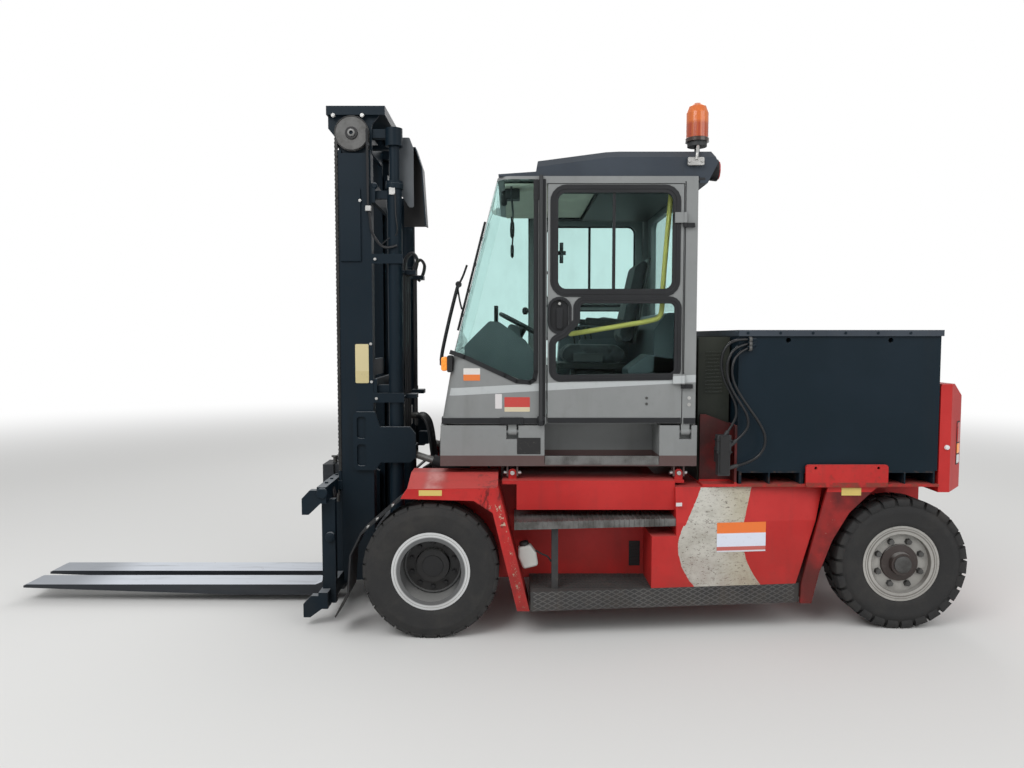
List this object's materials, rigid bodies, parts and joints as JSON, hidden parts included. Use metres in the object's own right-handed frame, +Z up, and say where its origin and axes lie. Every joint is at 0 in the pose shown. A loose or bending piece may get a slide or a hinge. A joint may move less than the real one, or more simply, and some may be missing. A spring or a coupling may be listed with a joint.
{
  "type": "electric forklift",
  "caption": "Electric counterbalance forklift: two-stage mast, long forks, closed tilting cab with doors, battery box over the steered rear wheels, running boards.",
  "frame": {"origin": "middle of the overall length and width, on the ground under the tyres", "axes": "+X towards the counterweight (rear), forks towards -X; +Y the truck's right; +Z up. Rest pose: mast upright and down, forks level, wheels straight, doors shut, cab down"},
  "size_m": [6.0013, 1.8, 3.195],
  "materials": {
    "red_paint": "satin",
    "grey_paint": "satin",
    "mast_paint": "satin",
    "black_paint": "matt",
    "fork_paint": "worn",
    "bare_steel": "dull",
    "rim_paint": "dull",
    "tyre_rubber": "matt",
    "window_glass": "clear",
    "cab_plastic": "matt",
    "amber_lens": "clear",
    "cable_rubber": "matt",
    "seat_fabric": "woven"
  },
  "bodies": {
    "chassis": {"chassis_frame": "red_paint", "battery_platform": "red_paint", "front_fenders": "red_paint", "front_aprons": "black_paint", "rear_fenders": "red_paint", "side_tanks": "red_paint", "lower_steps": "black_paint", "tread_steps": "bare_steel", "cab_skirt": "grey_paint", "electrics_housing": "mast_paint", "battery_case": "mast_paint", "battery_lid": "mast_paint", "battery_pallet": "mast_paint", "counterweight": "red_paint", "drive_axle": "black_paint", "steer_axle": "black_paint", "battery_plug": "cab_plastic", "battery_cable_upper": "cable_rubber", "battery_cable_middle": "cable_rubber", "battery_cable_lower": "cable_rubber"},
    "front_left_wheel": {"front_left_rim": "rim_paint", "front_left_tyre": "tyre_rubber"},
    "front_right_wheel": {"front_right_rim": "rim_paint", "front_right_tyre": "tyre_rubber"},
    "left_knuckle": {"left_knuckle": "black_paint"},
    "right_knuckle": {"right_knuckle": "black_paint"},
    "rear_left_wheel": {"rear_left_rim": "rim_paint", "rear_left_tyre": "tyre_rubber"},
    "rear_right_wheel": {"rear_right_rim": "rim_paint", "rear_right_tyre": "tyre_rubber"},
    "cab": {"cab_shell": "grey_paint", "cab_roof": "black_paint", "cab_glass": "window_glass", "seat": "seat_fabric", "console": "cab_plastic", "cab_fittings": "cab_plastic", "beacon": "amber_lens", "hinge_pins": "black_paint"},
    "steering_wheel": {"steering_wheel": "cab_plastic"},
    "left_door": {"left_door": "grey_paint", "left_door_glass": "window_glass"},
    "right_door": {"right_door": "grey_paint", "right_door_glass": "window_glass"},
    "mast": {"mast_outer": "mast_paint", "lift_cylinders": "mast_paint", "anchor_chains": "bare_steel"},
    "mast_inner": {"mast_inner": "mast_paint", "chain_sheaves": "bare_steel", "lift_chains": "bare_steel"},
    "carriage": {"carriage": "mast_paint"},
    "left_fork": {"left_fork": "fork_paint"},
    "right_fork": {"right_fork": "fork_paint"},
    "left_tilt_cylinder": {"left_tilt_cylinder": "black_paint"},
    "right_tilt_cylinder": {"right_tilt_cylinder": "black_paint"},
    "left_tilt_rod": {"left_tilt_rod": "bare_steel"},
    "right_tilt_rod": {"right_tilt_rod": "bare_steel"}
  },
  "joints": [
    {"name": "front_left_wheel_spin", "type": "hinge", "parent": "chassis", "child": "front_left_wheel", "pos_m": [-0.2295, -0.779, 0.3975], "axis": [0, 1, 0], "continuous": true},
    {"name": "left_steer", "type": "hinge", "parent": "chassis", "child": "left_knuckle", "pos_m": [2.5805, -0.478, 0.3975], "axis": [0, 0, 1], "range_deg": [-55, 55]},
    {"name": "rear_left_wheel_spin", "type": "hinge", "parent": "left_knuckle", "child": "rear_left_wheel", "pos_m": [2.5805, -0.624, 0.3975], "axis": [0, 1, 0], "continuous": true},
    {"name": "front_right_wheel_spin", "type": "hinge", "parent": "chassis", "child": "front_right_wheel", "pos_m": [-0.2295, 0.779, 0.3975], "axis": [0, 1, 0], "continuous": true},
    {"name": "right_steer", "type": "hinge", "parent": "chassis", "child": "right_knuckle", "pos_m": [2.5805, 0.478, 0.3975], "axis": [0, 0, 1], "range_deg": [-55, 55]},
    {"name": "rear_right_wheel_spin", "type": "hinge", "parent": "right_knuckle", "child": "rear_right_wheel", "pos_m": [2.5805, 0.624, 0.3975], "axis": [0, 1, 0], "continuous": true},
    {"name": "steering_wheel_turn", "type": "hinge", "parent": "cab", "child": "steering_wheel", "pos_m": [0.3226, 0, 1.8296], "axis": [0.4695, 0, 0.8829], "range_deg": [-720, 720]},
    {"name": "cab_tilt", "type": "hinge", "parent": "chassis", "child": "cab", "pos_m": [0.2455, -0.712, 1.196], "axis": [1, 0, 0], "range_deg": [0, 50]},
    {"name": "left_door_swing", "type": "hinge", "parent": "cab", "child": "left_door", "pos_m": [1.2505, -0.745, 1.247], "axis": [0, 0, 1], "range_deg": [0, 95]},
    {"name": "right_door_swing", "type": "hinge", "parent": "cab", "child": "right_door", "pos_m": [1.2505, 0.745, 1.247], "axis": [0, 0, -1], "range_deg": [0, 95]},
    {"name": "mast_tilt", "type": "hinge", "parent": "chassis", "child": "mast", "pos_m": [-0.4915, 0, 0.4], "axis": [0, 1, 0], "range_deg": [-5, 8]},
    {"name": "mast_lift", "type": "slide", "parent": "mast", "child": "mast_inner", "axis": [0, 0, 1], "range_m": [0, 1.8], "deforming": ["anchor_chains"]},
    {"name": "carriage_lift", "type": "slide", "parent": "mast_inner", "child": "carriage", "axis": [0, 0, 1], "range_m": [0, 1.8], "deforming": ["lift_chains"]},
    {"name": "left_fork_shift", "type": "slide", "parent": "carriage", "child": "left_fork", "axis": [0, -1, 0], "range_m": [-0.045, 0.385]},
    {"name": "left_tilt_cylinder_swing", "type": "hinge", "parent": "chassis", "child": "left_tilt_cylinder", "pos_m": [0.0205, -0.35, 0.872], "axis": [0, 1, 0], "range_deg": [-1.6, 2.5]},
    {"name": "left_tilt_rod_slide", "type": "slide", "parent": "left_tilt_cylinder", "child": "left_tilt_rod", "axis": [-0.95, 0, 0.3122], "range_m": [-0.0875, 0.0545]},
    {"name": "right_fork_shift", "type": "slide", "parent": "carriage", "child": "right_fork", "axis": [0, 1, 0], "range_m": [-0.045, 0.385]},
    {"name": "right_tilt_cylinder_swing", "type": "hinge", "parent": "chassis", "child": "right_tilt_cylinder", "pos_m": [0.0205, 0.35, 0.872], "axis": [0, 1, 0], "range_deg": [-1.6, 2.5]},
    {"name": "right_tilt_rod_slide", "type": "slide", "parent": "right_tilt_cylinder", "child": "right_tilt_rod", "axis": [-0.95, 0, 0.3122], "range_m": [-0.0875, 0.0545]}
  ],
  "couplings": [
    {"joint": "right_steer", "follows": "left_steer", "ratio": 1},
    {"joint": "steering_wheel_turn", "follows": "left_steer", "ratio": 13.09},
    {"joint": "carriage_lift", "follows": "mast_lift", "ratio": 1},
    {"joint": "left_tilt_cylinder_swing", "follows": "mast_tilt", "ratio": 0.205},
    {"joint": "left_tilt_rod_slide", "follows": "mast_tilt", "m_per_rad": -0.61},
    {"joint": "right_tilt_cylinder_swing", "follows": "mast_tilt", "ratio": 0.205},
    {"joint": "right_tilt_rod_slide", "follows": "mast_tilt", "m_per_rad": -0.61}
  ]
}
